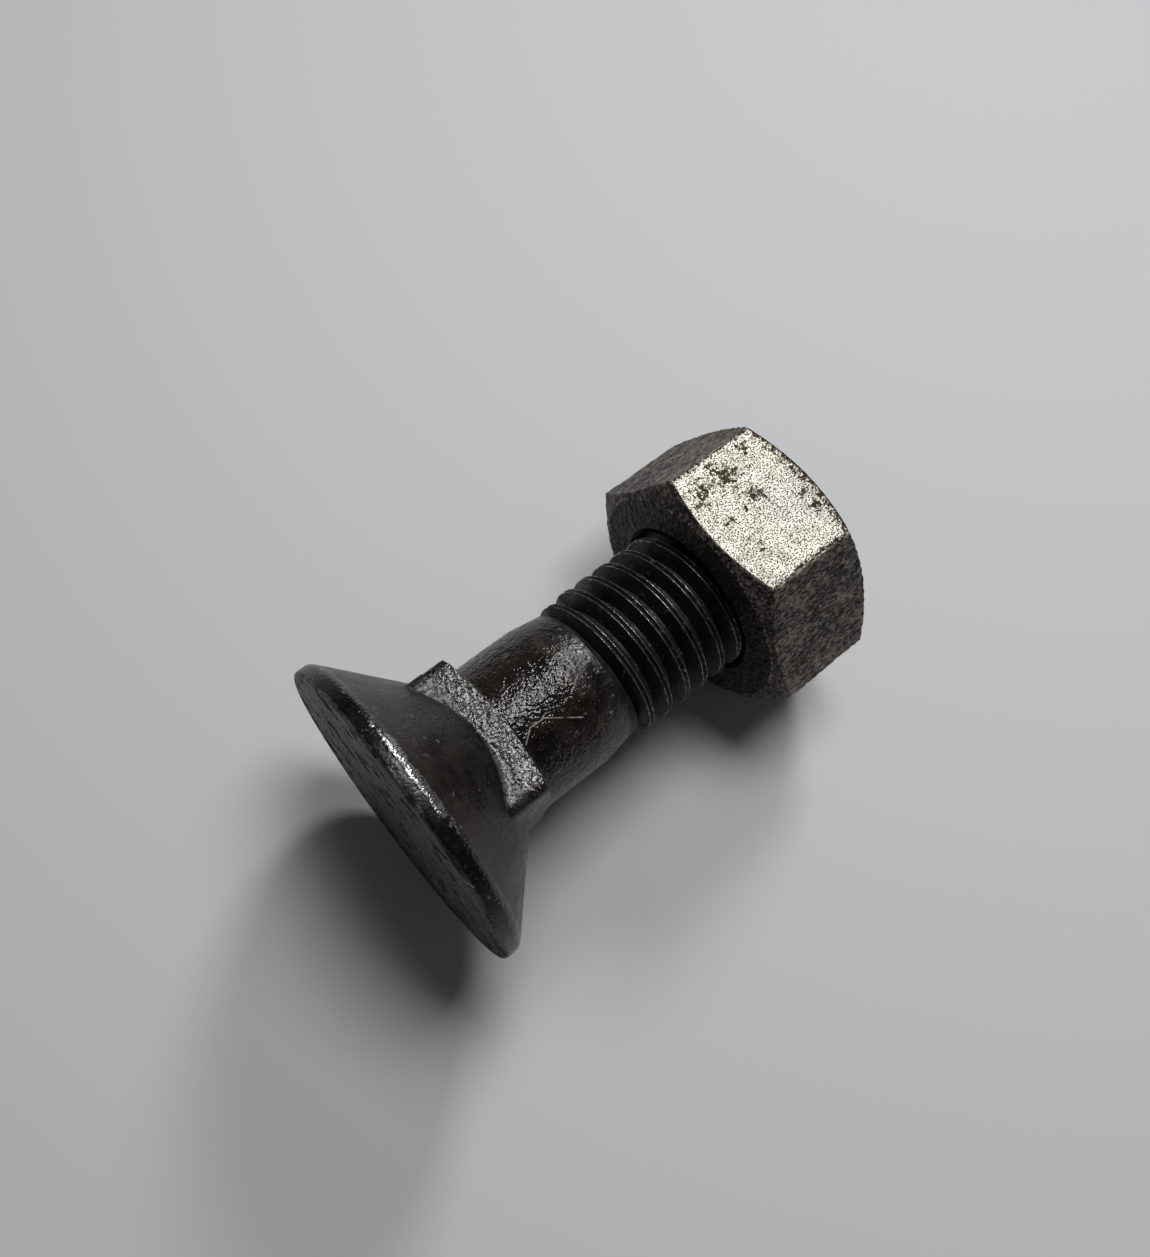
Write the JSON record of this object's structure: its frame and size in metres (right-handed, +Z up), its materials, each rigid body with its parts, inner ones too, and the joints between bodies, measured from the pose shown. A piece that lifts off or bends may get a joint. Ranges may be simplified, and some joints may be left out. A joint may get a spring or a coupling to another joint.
{
  "type": "plow bolt",
  "caption": "Forged plow bolt with a round countersunk head, a short square neck and a coarse right-hand thread, with its hex nut run on.",
  "frame": {"origin": "bottom centre of the box round the lying bolt, on the surface that it lies on", "axes": "+Z up; +X towards the nut end, level, under the bolt's own axis, which slopes down to the nut by about 4.4 degrees; +Y to the side"},
  "size_m": [0.0396, 0.0246, 0.0245],
  "materials": {
    "bolt_steel": "dark oiled forging scale, bright where worn",
    "nut_steel": "worn zinc plating over dark steel, stained brown"
  },
  "bodies": {
    "bolt": {"plow_bolt": "bolt_steel"},
    "nut": {"hex_nut": "nut_steel"}
  },
  "joints": [
    {"name": "nut_travel", "type": "slide", "parent": "bolt", "child": "nut", "axis": [0.9971, 0, -0.0765], "range_m": [-0.00875, 0.01225]}
  ]
}
